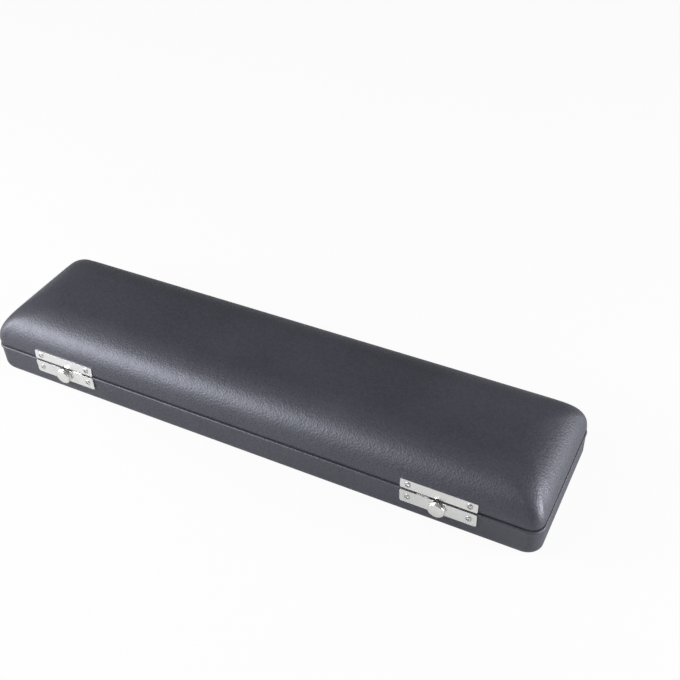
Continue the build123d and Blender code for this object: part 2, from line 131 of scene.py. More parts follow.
# ---------------------------------------------------------------- plush
BLOCK_VOXEL = 1.3 * MM
PAD_VOXEL = 2.5 * MM
PAD_SWELL = 1.6 * MM  # how far the lid's pad swells from the form it is cut to
PAD_MARGIN_SHARE = 0.7  # of that swell, kept free inside the pad's box
PAD_ROWS = 14
PAD_CORNER = 8 * MM
PAD_LEAST_CORNER = 0.3 * MM
PAD_EDGE_SHARE = 0.35  # thickness at the pad's edge
PAD_ROUNDNESS = 0.6
PAD_DRAW_ACROSS = 0.98  # keeps the pad's lowest row from closing to a line
PAD_GLUED_SHARE = (0.995, 0.96)  # of the pad's plan
CLOTH_PRESSURE = 4
CLOTH_FRAMES = 20

# ---------------------------------------------------------------- fittings
PLATE_CORNER = 1.4 * MM
FLANGE_THICKNESS = 1 * MM
LATCH_TRAVEL = 3.5 * MM
STRIKE_LOW = 1.1 * MM
STRIKE_HEIGHT = 6.5 * MM
STRIKE_THICKNESS = 1 * MM
SEAT_DEPTH = 0.3 * MM
LEAF_REACH = 2.7 * MM
LEAF_DEPTH = 8 * MM
LEAF_THICKNESS = 1 * MM
LATCH_SCREW_REACH = 19.4 * MM
HINGE_SCREW_REACH = 10.5 * MM

KNOB_STEM_RADIUS = 1.7 * MM
KNOB_LIFT = 0.15 * MM
KNOB_FOOT = 0.5 * MM  # rounding of the edge next to the plate
KNOB_FOOT_SHAPE = ((1, 0), (0.3, 0.2), (0, 0.9))  # shares of it, inwards and outwards
KNOB_SHOULDER = 1.1 * MM
KNOB_SHOULDER_SPREAD = 1.3
KNOB_SHOULDER_TURN = math.radians(78)
KNOB_SHOULDER_STEPS = 8
KNOB_CROWN = 0.3 * MM
KNOB_CROWN_STEPS = 5

SCREW_RADIUS = 2 * MM
SCREW_NECK_RADIUS = 0.9 * MM
SCREW_NECK_DEPTH = 1.2 * MM
SCREW_SEAT_DEPTH = 0.1 * MM
SCREW_RIM = 0.25 * MM
SCREW_RIM_BEVEL = 0.08 * MM
SCREW_DOME = 0.4 * MM
RECESS_ARM = 1.25 * MM
RECESS_HALF_WIDTH = 0.3 * MM
RECESS_DEPTH = 0.5 * MM
RECESS_TOP = 1 * MM  # above the dome

# Metal pieces that keep their CAD form: name, width of the softened edge, and slot.
SOFTENED = (
    ("latch_plate", 0.25 * MM, "nickel"),
    ("strike_plate", 0.2 * MM, "nickel"),
    ("hinge_base_leaf", 0.15 * MM, "nickel"),
    ("hinge_lid_leaf", 0.15 * MM, "nickel"),
    ("latch_bolt", 0.1 * MM, "steel"),
)


# ================================================================ materials
def new_material(name):
    """A fresh node material and its Principled shader."""
    material = bpy.data.materials.new(name)
    material.use_nodes = True
    tree = material.node_tree
    shader = next(n for n in tree.nodes if n.type == "BSDF_PRINCIPLED")
    return material, tree, shader


def add_node(tree, kind, links=(), numbers=(), **settings):
    """A node with its settings, some inputs set to numbers and some joined to other nodes' outputs."""
    node = tree.nodes.new(kind)
    for key, value in settings.items():
        setattr(node, key, value)
    for name, value in numbers:
        node.inputs[name].default_value = value
    for name, source in links:
        tree.links.new(source, node.inputs[name])
    return node


def object_coordinates(tree, stretch=(1, 1, 1)):
    """Places on the object, in metres, times a stretch for each axis."""
    place = add_node(tree, "ShaderNodeTexCoord").outputs["Object"]
    mapping = add_node(tree, "ShaderNodeMapping", [("Vector", place)], [("Scale", stretch)])
    return mapping.outputs["Vector"]


def noise(tree, place, scale, detail):
    """Noise from 0 to 1 over the given places."""
    numbers = [("Scale", scale), ("Detail", detail)]
    return add_node(tree, "ShaderNodeTexNoise", [("Vector", place)], numbers).outputs["Fac"]


def spread(tree, source, low, high):
    """Maps a 0 to 1 value onto low to high."""
    numbers = [("To Min", low), ("To Max", high)]
    return add_node(tree, "ShaderNodeMapRange", [("Value", source)], numbers).outputs["Result"]


def mottle(tree, source, dark, light):
    """Colour between two shades."""
    ramp = add_node(tree, "ShaderNodeValToRGB", [("Fac", source)])
    low, high = ramp.color_ramp.elements
    low.position = 0.3
    high.position = 0.7
    low.color = (*dark, 1)
    high.color = (*light, 1)
    return ramp.outputs["Color"]


def bumped(tree, shader, *layers):
    """Joins bump layers of (height, depth in metres, strength) into the shader's normal."""
    normal = None
    for height, depth, strength in layers:
        links = [("Height", height)]
        if normal is not None:
            links.append(("Normal", normal))
        numbers = [("Distance", depth), ("Strength", strength)]
        normal = add_node(tree, "ShaderNodeBump", links, numbers).outputs["Normal"]
    tree.links.new(normal, shader.inputs["Normal"])


def leathercloth():
    """Blue-black coated cloth with a fine pebble grain."""
    material, tree, shader = new_material("leathercloth")
    place = object_coordinates(tree)
    numbers = [("Scale", 820), ("Smoothness", 0.5)]
    pebbles = add_node(tree, "ShaderNodeTexVoronoi", [("Vector", place)], numbers, feature="SMOOTH_F1")
    patches = noise(tree, place, scale=240, detail=3)
    clouds = noise(tree, place, scale=14, detail=2)
    pores = noise(tree, place, scale=2600, detail=2)
    specks = noise(tree, place, scale=700, detail=2)
    both = add_node(tree, "ShaderNodeMath", [(0, clouds), (1, specks)], operation="ADD")
    half = add_node(tree, "ShaderNodeMath", [(0, both.outputs["Value"])], [(1, 0.5)], operation="MULTIPLY")
    shades = {"dark": (0.016, 0.0166, 0.023), "light": (0.042, 0.0435, 0.054)}
    tree.links.new(mottle(tree, half.outputs["Value"], **shades), shader.inputs["Base Color"])
    tree.links.new(spread(tree, patches, low=0.42, high=0.56), shader.inputs["Roughness"])
    shader.inputs["Specular IOR Level"].default_value = 0.9
    shader.inputs["Specular Tint"].default_value = (0.84, 0.86, 1, 1)
    coarse = (patches, 0.3 * MM, 0.35)
    grain = (pebbles.outputs["Distance"], 0.25 * MM, 0.48)
    fine = (pores, 0.03 * MM, 0.3)
    bumped(tree, shader, coarse, grain, fine)
    return material


def metal(name, colour, roughness, brush_strength):
    """Plated or plain metal with fine polishing lines along the case."""
    material, tree, shader = new_material(name)
    brushed = noise(tree, object_coordinates(tree, stretch=(40, 2600, 2600)), scale=1, detail=4)
    clouds = noise(tree, object_coordinates(tree), scale=90, detail=2)
    shader.inputs["Metallic"].default_value = 1
    tone = mottle(tree, clouds, dark=[c * 0.95 for c in colour], light=colour)
    tree.links.new(tone, shader.inputs["Base Color"])
    dullness = spread(tree, brushed, low=roughness * 0.8, high=roughness * 1.25)
    tree.links.new(dullness, shader.inputs["Roughness"])
    bumped(tree, shader, (brushed, 0.02 * MM, brush_strength))
    return material


def plush():
    """Short dark-blue pile."""
    material, tree, shader = new_material("plush")
    place = object_coordinates(tree)
    pile = noise(tree, place, scale=2200, detail=3)
    strokes = noise(tree, place, scale=60, detail=4)
    colour = mottle(tree, strokes, dark=(0.008, 0.010, 0.020), light=(0.018, 0.022, 0.042))
    tree.links.new(colour, shader.inputs["Base Color"])
    shader.inputs["Roughness"].default_value = 0.9
    shader.inputs["Specular IOR Level"].default_value = 0.2
    shader.inputs["Sheen Weight"].default_value = 0.6
    shader.inputs["Sheen Roughness"].default_value = 0.35
    shader.inputs["Sheen Tint"].default_value = (0.25, 0.30, 0.50, 1)
    bumped(tree, shader, (strokes, 0.3 * MM, 0.2), (pile, 0.25 * MM, 0.6))
    return material


def wood():
    """Bare moulded plywood with its grain along the case."""
    material, tree, shader = new_material("wood")
    grain = noise(tree, object_coordinates(tree, stretch=(25, 400, 900)), scale=1, detail=6)
    colour = mottle(tree, grain, dark=(0.26, 0.16, 0.085), light=(0.42, 0.29, 0.17))
    tree.links.new(colour, shader.inputs["Base Color"])
    tree.links.new(spread(tree, grain, low=0.55, high=0.75), shader.inputs["Roughness"])
    bumped(tree, shader, (grain, 0.1 * MM, 0.3))
    return material


NICKEL = (0.86, 0.86, 0.85)
STEEL = (0.56, 0.56, 0.57)
MATERIALS = {
    "leathercloth": leathercloth(),
    "nickel": metal("nickel", NICKEL, roughness=0.30, brush_strength=0.35),
    "nickel_polished": metal("nickel_polished", NICKEL, roughness=0.24, brush_strength=0.12),
    "steel": metal("steel", STEEL, roughness=0.35, brush_strength=0.4),
    "plush": plush(),
    "wood": wood(),
}


def finish_with(piece, slot):
    """Gives a piece the finish of one of the record's material slots."""
    piece.data.materials.clear()
    piece.data.materials.append(MATERIALS[slot])


# ================================================================ meshes
def add_piece(name, mesh, slot, body):
    """Makes a mesh into a piece with the finish of a slot, and lets it ride on a body."""
    piece = bpy.data.objects.new(name, mesh)
    bpy.context.scene.collection.objects.link(piece)
    finish_with(piece, slot)
    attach(piece, body)
    return piece


def built_piece(name, built, slot, body, smooth_angle=35):
    """Makes a bmesh into a piece that is smooth except over edges sharper than an angle in degrees."""
    bmesh.ops.recalc_face_normals(built, faces=built.faces)
    for edge in built.edges:
        if len(edge.link_faces) == 2:
            edge.smooth = edge.calc_face_angle(0) < math.radians(smooth_angle)
    for face in built.faces:
        face.smooth = True
    mesh = bpy.data.meshes.new(name)
    built.to_mesh(mesh)
    built.free()
    return add_piece(name, mesh, slot, body)


def rounded_outline(half_x, half_y, radius):
    """Points round a rounded rectangle, each with its outward normal and its distance from the corner.

    The distance runs along the outline and is negative before the middle of the corner.
    """
    points = []
    for corner, (side_x, side_y) in enumerate(((1, -1), (1, 1), (-1, 1), (-1, -1))):
        centre = Vector((side_x * (half_x - radius), side_y * (half_y - radius), 0))
        start = math.radians(90 * corner - 90)
        for step in range(CORNER_STEPS + 1):
            angle = start + QUARTER_TURN * step / CORNER_STEPS
            normal = Vector((math.cos(angle), math.sin(angle), 0))
            from_corner = radius * (angle - start - QUARTER_TURN / 2)
            points.append((centre + radius * normal, normal, from_corner))
        upright = corner % 2 == 0
        run = 2 * ((half_y if upright else half_x) - radius)
        steps = SHORT_SIDE_STEPS if upright else LONG_SIDE_STEPS
        last, normal, _ = points[-1]
        along = Vector((-normal.y, normal.x, 0))
        for step in range(1, steps):
            travelled = run * step / steps
            from_corner = min(travelled, run - travelled) + radius * QUARTER_TURN / 2
            if travelled > run / 2:
                from_corner = -from_corner
            points.append((last + along * travelled, normal, from_corner))
    return points


def ring(inset, z, radius, shape=None):
    """One level of a form that follows the case's plan, drawn in all round or by (at ends, at sides).

    The shape, where one is given, says how far each point is pushed out.
    """
    inset_x, inset_y = inset if isinstance(inset, tuple) else (inset, inset)
    level = []
    for point, normal, from_corner in rounded_outline(HALF_LENGTH - inset_x, HALF_WIDTH - inset_y, radius):
        push = shape(from_corner, z) if shape else 0
        level.append(Vector((point.x, point.y, z)) + normal * push)
    return level


def bridged(rings, closed=False):
    """A bmesh through rings of equal count: capped at both ends, or closed on itself."""
    built = bmesh.new()
    levels = [[built.verts.new(v) for v in level] for level in rings]
    pairs = list(zip(levels, levels[1:]))
    if closed:
        pairs.append((levels[-1], levels[0]))
    else:
        built.faces.new(levels[0])
        built.faces.new(levels[-1])
    for low, high in pairs:
        for i in range(len(low)):
            j = (i + 1) % len(low)
            built.faces.new((low[i], low[j], high[j], high[i]))
    return built


def lathe(profile, steps=64):
    """A bmesh turned from (radius, along) pairs about the local Z axis."""
    built = bmesh.new()
    turns = [2 * math.pi * i / steps for i in range(steps)]
    levels = []
    for radius, along in profile:
        if radius == 0:
            levels.append([built.verts.new((0, 0, along))])
        else:
            circle = [(radius * math.cos(turn), radius * math.sin(turn), along) for turn in turns]
            levels.append([built.verts.new(place) for place in circle])
    for low, high in zip(levels, levels[1:]):
        for i in range(steps):
            j = (i + 1) % steps
            corners = [low[i % len(low)], low[j % len(low)], high[j % len(high)], high[i % len(high)]]
            built.faces.new(list(dict.fromkeys(corners)))
    return built


def apply_modifiers(piece):
    """Turns what a piece's modifiers make into its own mesh."""
    bpy.context.view_layer.update()
    made = bpy.data.meshes.new_from_object(piece.evaluated_get(bpy.context.evaluated_depsgraph_get()))
    piece.modifiers.clear()
    piece.data = made


def remesh_with(piece, voxel_size):
    """Adds a remesh that rebuilds a piece from small cubes."""
    remesh = piece.modifiers.new("remesh", "REMESH")
    remesh.mode = "VOXEL"
    remesh.voxel_size = voxel_size
    return remesh


def cut_away(piece, low, high):
    """Cuts a box, given by its two corners, out of a piece."""
    built = bmesh.new()
    place = Matrix.Translation((low + high) / 2) @ Matrix.Diagonal((*(high - low), 1))
    bmesh.ops.create_cube(built, size=1, matrix=place)
    mesh = bpy.data.meshes.new("cutter")
    built.to_mesh(mesh)
    built.free()
    cutter = bpy.data.objects.new("cutter", mesh)
    bpy.context.scene.collection.objects.link(cutter)
    boolean = piece.modifiers.new("cut", "BOOLEAN")
    boolean.operation = "DIFFERENCE"
    boolean.solver = "EXACT"
    boolean.object = cutter
    apply_modifiers(piece)
    bpy.data.objects.remove(cutter)


# ================================================================ leather
def roll_in(height, roll, inset):
    """How far the lid's face stands in from the case's outside, this high above the start of the roll.

    The roll is an arc that leaves the rim upright, then a second one that runs level into the crown.
    """
    if height <= 0:
        return inset
    crown_arc = (roll**2 + ROLL_RISE**2 - 2 * roll * RIM_ARC) / (2 * (ROLL_RISE - RIM_ARC))
    turn = math.atan2(crown_arc - ROLL_RISE, roll - RIM_ARC)
    if height <= (RIM_ARC - inset) * math.sin(turn):
        return RIM_ARC - math.sqrt((RIM_ARC - inset) ** 2 - height**2)
    drop = height - ROLL_RISE + crown_arc
    return roll - math.sqrt(max((crown_arc - inset) ** 2 - drop**2, 0))


def pillow_ring(inset, height, radius, shape=None):
    """A level of the pillow lid, this high above the start of the roll."""
    insets = (roll_in(height, LID_ROLL_END, inset), roll_in(height, LID_ROLL_SIDE, inset))
    return ring(insets, ROLL_START + height, radius, shape)


def roll_heights(inset):
    """Heights of the roll's levels, closer together towards the crown."""
    top = ROLL_RISE - inset
    return [top * math.sin(QUARTER_TURN * step / ROLL_STEPS) for step in range(ROLL_STEPS + 1)]


def inner_pillow(inset):
    """Levels of the pillow lid this deep inside it, from the rim to the crown."""
    return [pillow_ring(inset, height, CORNER_RADIUS - inset) for height in roll_heights(inset)]


def corner_radius_at(height):
    """The lid's plan corner: drawn a little tighter over the ridge, then opening out towards the crown."""
    share = height / ROLL_RISE
    tight = 1 - RIDGE_TIGHTENING * math.sin(math.pi * min(share / RIDGE_END, 1))
    return CORNER_RADIUS * (tight + CROWN_OPENING * share**4)


def choose_pleats():
    """Pleats of (length, phase, weight), the same at each run."""
    dice = random.Random(7)
    pleats = []
    for _ in range(PLEAT_COUNT):
        length = dice.uniform(2.2, 4.5) * MM
        phase = dice.uniform(0, 2 * math.pi)
        weight = dice.uniform(0.4, 1)
        pleats.append((length, phase, weight))
    return pleats


PLEATS = choose_pleats()


def fading(distance, reach):
    """A share that is 1 at no distance and fades smoothly over a reach."""
    return math.exp(-((distance / reach) ** 2))


def gathered(from_corner, z):
    """Leather drawn in at the seam and beside each corner ridge, with pleats that fade up the roll."""
    height = max(z - ROLL_START, 0)
    window = math.sin(math.pi * min(height / ROLL_RISE / HOLLOW_END, 1)) ** HOLLOW_FADE
    hollow = window * fading(abs(from_corner) - HOLLOW_PLACE, HOLLOW_WIDTH)
    near_corner = fading(from_corner, PLEAT_REACH) * fading(height, PLEAT_RISE)
    place = from_corner + PLEAT_LEAN * height
    wave = sum(weight * math.sin(place / length * math.pi + phase) for length, phase, weight in PLEATS)
    rim = RIM_DRAW * fading(z - LID_RIM, RIM_DRAW_HEIGHT)
    return near_corner * (PLEAT_HEIGHT * wave - PLEAT_DRAW) - HOLLOW_DEPTH * hollow - rim


def fold_round(inset_out, inset_in, edge, into):
    """Levels (inset, z, radius) that round a folded edge; into is the way into the leather, up or down."""
    levels = []
    steps = range(FOLD_STEPS + 1)
    for face, way, order in ((inset_out, 1, steps), (inset_in, -1, reversed(steps))):
        for step in order:
            angle = QUARTER_TURN * step / FOLD_STEPS
            inset = face + way * FOLD_RADIUS * (1 - math.cos(angle))
            z = edge + into * FOLD_RADIUS * (1 - math.sin(angle))
            levels.append((inset, z, max(CORNER_RADIUS - inset, FOLD_LEAST_CORNER)))
    return levels


def turned_in_rim(edge, into, fold, outside):
    """Levels from the leather's inner face, round the strip folded inside a rim, to the outer face."""
    inner = fold + SKIN
    turns = ((SKIN, SKIN), (fold, SKIN), (fold, RETURN_DEPTH), (inner, RETURN_DEPTH))
    rings = [ring(inset, edge + into * depth, CORNER_RADIUS - inset) for inset, depth in turns]
    return rings + [ring(*level) for level in reversed(fold_round(outside, inner, edge, into))]


def lid_leather():
    """Covering of the lid: pillow, folded rim and the turn-in inside the rim, as one closed skin."""
    rings = inner_pillow(SKIN)[::-1]
    rings += turned_in_rim(LID_RIM, 1, LID_RETURN, RIM_DRAW)
    for height in roll_heights(0):
        rings.append(pillow_ring(0, height, corner_radius_at(height), gathered))
    piece = built_piece("lid_leather", bridged(rings), "leathercloth", "lid")
    for side, sign in SIDES:
        strike_low, strike_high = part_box(f"strike_plate_{side}")
        hook_x = (strike_low.x + strike_high.x) / 2 - sign * HOOK_OFFSET
        notch_top = PARTING + STRIKE_LOW + NOTCH_COVERED
        low = Vector((hook_x - HOOK_HALF_ROOM, FRONT - OVERCUT, LID_RIM - OVERCUT))
        cut_away(piece, low, Vector((hook_x + HOOK_HALF_ROOM, FRONT + NOTCH_DEPTH, notch_top)))
    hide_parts("lid_covering")


def underside_roll(inset, steps):
    """Levels of the roll between the underside and the walls, from the lowest up."""
    radius = BOTTOM_ROLL - inset
    rings = []
    for step in range(steps + 1):
        angle = QUARTER_TURN * step / steps
        draw = radius * (1 - math.sin(angle))
        z = BOTTOM_ROLL - radius * math.cos(angle)
        rings.append(ring(inset + draw, z, CORNER_RADIUS - inset + UNDERSIDE_OPENING * draw))
    return rings


def base_leather():
    """Covering of the tray: rolled underside, walls, folded rim and turn-in, as one closed skin."""
    rings = underside_roll(SKIN, UNDERSIDE_INNER_STEPS)
    rings += turned_in_rim(BASE_RIM, -1, BASE_RETURN, -RIM_BEAD)
    wall_top = BASE_RIM - FOLD_RADIUS
    for step in range(1, WALL_STEPS):
        down = (wall_top - BOTTOM_ROLL) * (step / WALL_STEPS) ** 1.5
        rings.append(ring(-RIM_BEAD * fading(down, RIM_BEAD_HEIGHT), wall_top - down, CORNER_RADIUS))
    rings += underside_roll(0, UNDERSIDE_STEPS)[::-1]
    piece = built_piece("base_leather", bridged(rings), "leathercloth", "base")
    for side, _ in SIDES:
        plate_low, plate_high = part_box(f"latch_plate_{side}")
        end = PLATE_CORNER - CUT_ROOM
        under_flange = plate_high.z - FLANGE_THICKNESS - CUT_ROOM
        low = Vector((plate_low.x + end, FRONT - OVERCUT, under_flange))
        cut_away(piece, low, Vector((plate_high.x - end, plate_high.y + CUT_ROOM, BASE_RIM + OVERCUT)))
        bolt_low, bolt_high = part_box(f"latch_bolt_{side}")
        travel = LATCH_TRAVEL + BOLT_ROOM
        low = Vector((bolt_low.x - travel, FRONT - OVERCUT, bolt_low.z - CUT_ROOM))
        cut_away(piece, low, Vector((bolt_high.x + travel, bolt_high.y + CUT_ROOM, plate_high.z)))
    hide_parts("base_covering")


# ================================================================ plush
def base_lining():
    """Plush on the tray's walls above the block."""
    low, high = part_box("base_lining")
    outer, inner = BASE_RETURN, BASE_RETURN + SKIN
    turns = ((outer, low.z), (outer, high.z), (inner, high.z), (inner, low.z))
    rings = [ring(inset, z, CORNER_RADIUS - inset) for inset, z in turns]
    piece = built_piece("base_plush", bridged(rings, closed=True), "plush", "base")
    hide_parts("base_lining")


def lid_lining():
    """Plush inside the lid."""
    low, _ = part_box("lid_lining")
    outer, inner = LID_RETURN, LID_RETURN + SKIN
    rings = [level for level in inner_pillow(outer)[::-1] if level[0].z > low.z]
    rings += [ring(inset, low.z, CORNER_RADIUS - inset) for inset in (outer, inner)]
    rings += [level for level in inner_pillow(inner) if level[0].z > low.z]
    piece = built_piece("lid_plush", bridged(rings), "plush", "lid")
    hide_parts("lid_lining")


def flute_block():
    """The fitted block as plush over foam: the CAD form with every edge softened."""
    piece = add_piece("plush_block", nodes["flute_block"].data.copy(), "plush", "base")
    weld = piece.modifiers.new("weld", "WELD")
    weld.merge_threshold = 0.01 * MM
    remesh_with(piece, BLOCK_VOXEL).use_smooth_shade = True
    smooth = piece.modifiers.new("smooth", "SMOOTH")
    smooth.factor = 0.5
    smooth.iterations = 3
    apply_modifiers(piece)
    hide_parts("flute_block")


def swell(piece, glued_above, reach, low, high):
    """Swells a closed form as cloth under pressure: glued above a level, and kept inside its box."""
    remesh_with(piece, PAD_VOXEL)
    apply_modifiers(piece)
    rest = [v.co.copy() for v in piece.data.vertices]
    glued = piece.vertex_groups.new(name="glued")
    glued.add([i for i, place in enumerate(rest) if place.z > glued_above], 1, "REPLACE")
    cloth = piece.modifiers.new("cloth", "CLOTH")
    cloth.settings.vertex_group_mass = glued.name
    cloth.settings.use_pressure = True
    cloth.settings.uniform_pressure_force = CLOTH_PRESSURE
    cloth.settings.effector_weights.gravity = 0
    for step in range(1, CLOTH_FRAMES + 1):
        bpy.context.scene.frame_set(step)
    apply_modifiers(piece)
    bpy.context.scene.frame_set(1)
    for vertex, start in zip(piece.data.vertices, rest):
        moved = vertex.co - start
        if moved.length > reach:
            vertex.co = start + moved * (reach / moved.length)
        for axis in range(3):
            vertex.co[axis] = min(max(vertex.co[axis], low[axis]), high[axis])
    for face in piece.data.polygons:
        face.use_smooth = True


def lid_pad():
    """Padded strip under the crown: flat where it is glued, swollen below, with its edges drawn in."""
    low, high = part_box("lid_pad")
    margin = PAD_SWELL * PAD_MARGIN_SHARE
    half_x, half_y, depth = high.x - margin, high.y - margin, high.z - low.z - margin
    rings = []
    for row in range(PAD_ROWS + 1):
        angle = QUARTER_TURN * row / PAD_ROWS
        draw = half_y * (1 - math.cos(angle))
        corner = max(PAD_CORNER - draw, PAD_LEAST_CORNER)
        z = high.z - depth * (PAD_EDGE_SHARE + (1 - PAD_EDGE_SHARE) * math.sin(angle) ** PAD_ROUNDNESS)
        outline = rounded_outline(half_x - draw, half_y - draw * PAD_DRAW_ACROSS, corner)
        rings.append([Vector((point.x, point.y, z)) for point, _, _ in outline])
    share_x, share_y = PAD_GLUED_SHARE
    glued = [Vector((v.x * share_x, v.y * share_y, high.z)) for v in rings[0]]
    piece = built_piece("lid_cushion", bridged([glued, *rings]), "plush", "lid", 80)
    swell(piece, high.z - PAD_VOXEL / 2, PAD_SWELL, low, high)
    subdivided = piece.modifiers.new("subdivided", "SUBSURF")
    subdivided.levels = subdivided.render_levels = 1
    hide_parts("lid_pad")


# ================================================================ metal
def knob_profile(radius, tail, base, face):
    """Half section of a knob from its stem's tail to the middle of its face, as (radius, along) pairs."""
    shoulder_start = face - KNOB_SHOULDER - KNOB_CROWN
    profile = [(0, tail), (KNOB_STEM_RADIUS, tail), (KNOB_STEM_RADIUS, base)]
    profile += [(radius - KNOB_FOOT * inwards, base + KNOB_FOOT * out) for inwards, out in KNOB_FOOT_SHAPE]
    profile.append((radius, shoulder_start))
    for step in range(1, KNOB_SHOULDER_STEPS + 1):
        angle = KNOB_SHOULDER_TURN * step / KNOB_SHOULDER_STEPS
        drawn_in = KNOB_SHOULDER * KNOB_SHOULDER_SPREAD * (1 - math.cos(angle))
        profile.append((radius - drawn_in, shoulder_start + KNOB_SHOULDER * math.sin(angle)))
    edge_radius, edge_face = profile[-1]
    for step in range(1, KNOB_CROWN_STEPS + 1):
        left = 1 - step / KNOB_CROWN_STEPS
        profile.append((edge_radius * left, edge_face + (face - edge_face) * (1 - left**2)))
    return profile


def knobs():
    """Turned knobs with a rounded shoulder and a shallow crowned face, on the stem that holds the bolt."""
    for side, _ in SIDES:
        low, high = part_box(f"latch_knob_{side}")
        plate_low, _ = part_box(f"latch_plate_{side}")
        radius = (high.x - low.x) / 2
        built = lathe(knob_profile(radius, tail=-high.y, base=-plate_low.y + KNOB_LIFT, face=-low.y))
        middle = Matrix.Translation(((low.x + high.x) / 2, 0, (low.z + high.z) / 2))
        place = middle @ Matrix.Rotation(QUARTER_TURN, 4, "X")
        bmesh.ops.transform(built, matrix=place, verts=built.verts)
        piece = built_piece(f"knob_{side}", built, "nickel_polished", f"latch_slider_{side}", 50)
        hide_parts(f"latch_knob_{side}")


def springs():
    """The folded springs, which shorten as the bolts slide against them, kept here in their CAD form on
    the base.
    """
    for side, sign in SIDES:
        node = f"latch_spring_{side}"
        piece = add_piece(f"spring_{side}", nodes[node].data.copy(), "steel", "base")
        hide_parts(node)
        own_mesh(piece)


def screw_head_mesh():
    """Raised countersunk head with a cross recess, the plate's face at z = 0."""
    profile = [
        (0, -SCREW_NECK_DEPTH),
        (SCREW_NECK_RADIUS, -SCREW_NECK_DEPTH),
        (SCREW_RADIUS, -SCREW_SEAT_DEPTH),
        (SCREW_RADIUS, SCREW_RIM - SCREW_RIM_BEVEL),
        (SCREW_RADIUS - SCREW_RIM_BEVEL, SCREW_RIM),
    ]
    for share in (0.75, 0.5, 0.25, 0):
        profile.append((share * SCREW_RADIUS, SCREW_RIM + SCREW_DOME * (1 - share**2)))
    head = built_piece("screw_head", lathe(profile, 32), "steel", "base")
    for arm_x, arm_y in ((RECESS_ARM, RECESS_HALF_WIDTH), (RECESS_HALF_WIDTH, RECESS_ARM)):
        cut_away(head, Vector((-arm_x, -arm_y, -RECESS_DEPTH)), Vector((arm_x, arm_y, RECESS_TOP)))
    mesh = head.data
    mesh.set_sharp_from_angle(angle=math.radians(35))
    bpy.data.objects.remove(head)
    return mesh


def leaning_plane(x, facing, low, height):
    """Frame of a flat plate laid on the lid: origin in the middle of its lower edge, Z out of its face."""
    start = roll_in(low - LID_LIP, LID_ROLL_SIDE, 0)
    end = roll_in(low + height - LID_LIP, LID_ROLL_SIDE, 0)
    lean = math.atan2(end - start, height)
    out = Vector((0, facing * math.cos(lean), math.sin(lean)))
    along = Vector((-facing, 0, 0))
    matrix = Matrix((along, out.cross(along), out)).transposed().to_4x4()
    matrix.translation = Vector((x, facing * (HALF_WIDTH - start - SEAT_DEPTH), PARTING + low))
    return matrix


def screws():
    """The wood screws of the latch plates, strike plates and hinge leaves."""
    mesh = screw_head_mesh()
    facing_front = Matrix.Rotation(QUARTER_TURN, 4, "X")
    facing_back = Matrix.Rotation(-QUARTER_TURN, 4, "X")
    leaf_face = HALF_WIDTH + LEAF_THICKNESS
    places = []
    for side, sign in SIDES:
        plate_low, plate_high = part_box(f"latch_plate_{side}")
        leaf_low, leaf_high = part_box(f"hinge_base_leaf_{side}")
        latch_x = (plate_low.x + plate_high.x) / 2
        hinge_x = (leaf_low.x + leaf_high.x) / 2
        plate_z = (plate_low.z + plate_high.z) / 2
        leaf_z = leaf_low.z + LEAF_DEPTH / 2
        strike = leaning_plane(latch_x, -1, STRIKE_LOW, STRIKE_HEIGHT)
        leaf = leaning_plane(hinge_x, 1, LEAF_REACH, LEAF_DEPTH)
        for end in (-1, 1):
            name = f"{side}_{'outer' if end == sign else 'inner'}"
            latch_reach, hinge_reach = end * LATCH_SCREW_REACH, end * HINGE_SCREW_REACH
            at_plate = Matrix.Translation((latch_x + latch_reach, plate_low.y, plate_z))
            at_leaf = Matrix.Translation((hinge_x + hinge_reach, leaf_face, leaf_z))
            on_strike = Matrix.Translation((latch_reach, STRIKE_HEIGHT / 2, STRIKE_THICKNESS))
            on_leaf = Matrix.Translation((hinge_reach, LEAF_DEPTH / 2, LEAF_THICKNESS))
            places.append((f"latch_screw_{name}", at_plate @ facing_front, "base"))
            places.append((f"hinge_screw_{name}", at_leaf @ facing_back, "base"))
            places.append((f"strike_screw_{name}", strike @ on_strike, "lid"))
            places.append((f"leaf_screw_{name}", leaf @ on_leaf, "lid"))
    dice = random.Random(11)
    for name, place, body in places:
        head = mesh.copy()
        head.transform(place @ Matrix.Rotation(dice.uniform(0, math.pi), 4, "Z"))
        add_piece(name, head, "steel", body)


def soften_edges(name, width, slot):
    """Rounds the edges of a CAD node and gives it its finish."""
    piece = nodes[name]
    finish_with(piece, slot)
    weld = piece.modifiers.new("weld", "WELD")
    weld.merge_threshold = 0.005 * MM
    flats = piece.modifiers.new("flats", "DECIMATE")
    flats.decimate_type = "DISSOLVE"
    flats.angle_limit = math.radians(1)
    bevel = piece.modifiers.new("bevel", "BEVEL")
    bevel.width = width
    bevel.segments = 2
    bevel.limit_method = "ANGLE"
    bevel.angle_limit = math.radians(40)
    for face in piece.data.polygons:
        face.use_smooth = True
    normals = piece.modifiers.new("normals", "WEIGHTED_NORMAL")
    normals.weight = 100


# ================================================================ the dressed object
lid_leather()
base_leather()
base_lining()
lid_lining()
flute_block()
lid_pad()
knobs()
springs()
screws()
for side, _ in SIDES:
    for node_name, width, slot in SOFTENED:
        soften_edges(f"{node_name}_{side}", width, slot)
    finish_with(nodes[f"hinge_pin_{side}"], "steel")
finish_with(nodes["base_shell"], "wood")
finish_with(nodes["lid_shell"], "wood")


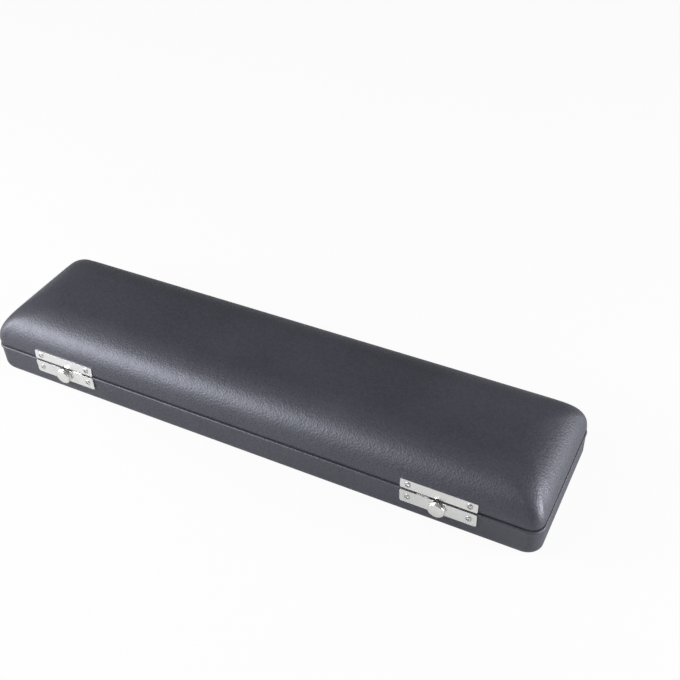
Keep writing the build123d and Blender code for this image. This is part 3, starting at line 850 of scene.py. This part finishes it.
# ================================================================ floor, light and camera
def seen_directly(tree, direct, mirrored):
    """One share for camera rays, one for mirrored rays, and 0 for the light that falls on things."""
    path = add_node(tree, "ShaderNodeLightPath")
    shares = []
    for ray, share in (("Is Camera Ray", direct), ("Is Glossy Ray", mirrored)):
        links = [(0, path.outputs[ray])]
        scaled = add_node(tree, "ShaderNodeMath", links, [(1, share)], operation="MULTIPLY")
        shares.append(scaled.outputs["Value"])
    either = add_node(tree, "ShaderNodeMath", enumerate(shares), operation="MAXIMUM")
    return either.outputs["Value"]


def pale_stage():
    """A pale floor that keeps the shadow softly."""
    mesh = bpy.data.meshes.new("floor")
    built = bmesh.new()
    bmesh.ops.create_grid(built, x_segments=1, y_segments=1, size=4)
    built.to_mesh(mesh)
    built.free()
    floor = bpy.data.objects.new("floor", mesh)
    bpy.context.scene.collection.objects.link(floor)
    material, tree, shader = new_material("floor")
    shader.inputs["Base Color"].default_value = (0.6, 0.6, 0.6, 1)
    shader.inputs["Roughness"].default_value = 0.9
    white = [("Color", (1, 1, 1, 1)), ("Strength", 1)]
    glow = add_node(tree, "ShaderNodeEmission", numbers=white).outputs["Emission"]
    seen = seen_directly(tree, direct=0.94, mirrored=0.15)
    mix = add_node(tree, "ShaderNodeMixShader", [("Fac", seen), (1, shader.outputs["BSDF"]), (2, glow)])
    output = next(n for n in tree.nodes if n.type == "OUTPUT_MATERIAL")
    tree.links.new(mix.outputs["Shader"], output.inputs["Surface"])
    floor.data.materials.append(material)


def pale_world():
    """Even soft light, white to the camera, brighter overhead than at the horizon."""
    world = bpy.data.worlds.new("world")
    bpy.context.scene.world = world
    world.use_nodes = True
    tree = world.node_tree
    place = add_node(tree, "ShaderNodeTexCoord")
    apart = add_node(tree, "ShaderNodeSeparateXYZ", [("Vector", place.outputs["Generated"])])
    sky = add_node(tree, "ShaderNodeValToRGB", [("Fac", apart.outputs["Z"])])
    horizon, overhead = sky.color_ramp.elements
    horizon.color = (0.14, 0.14, 0.14, 1)
    overhead.color = (0.32, 0.32, 0.32, 1)
    path = add_node(tree, "ShaderNodeLightPath")
    links = [("Factor", path.outputs["Is Camera Ray"]), (6, sky.outputs["Color"])]
    mix = add_node(tree, "ShaderNodeMix", links, [(7, (1, 1, 1, 1))], data_type="RGBA")
    background = next(n for n in tree.nodes if n.type == "BACKGROUND")
    tree.links.new(mix.outputs[2], background.inputs["Color"])
    background.inputs["Strength"].default_value = 1


def soft_lamp(name, place, aim, size, power):
    """A square softbox aimed at a point."""
    data = bpy.data.lights.new(name, "AREA")
    data.shape = "SQUARE"
    data.size = size
    data.energy = power
    lamp = bpy.data.objects.new(name, data)
    lamp.location = place
    lamp.rotation_euler = (Vector(aim) - Vector(place)).to_track_quat("-Z", "Y").to_euler()
    bpy.context.scene.collection.objects.link(lamp)


def photograph_camera():
    """The camera solved from the case's outline in the photograph."""
    data = bpy.data.cameras.new("camera")
    data.lens = 51.22
    data.sensor_width = 36
    data.clip_start = 0.01
    camera = bpy.data.objects.new("camera", data)
    camera.location = (0.26732, -0.39866, 0.45959)
    camera.rotation_euler = [math.radians(a) for a in (49.876, 1.888, 26.899)]
    bpy.context.scene.collection.objects.link(camera)
    bpy.context.scene.camera = camera


pale_stage()
pale_world()
soft_lamp("key", place=(-0.55, -0.60, 0.50), aim=(-0.1, 0, 0), size=0.45, power=7.5)
soft_lamp("left", place=(-0.95, -0.35, 0.45), aim=(-0.15, 0, 0), size=0.4, power=7)
soft_lamp("right", place=(1, 0.16, 0.26), aim=(0.19, 0, 0.02), size=0.5, power=13)
photograph_camera()
bpy.context.scene.view_settings.view_transform = "Standard"
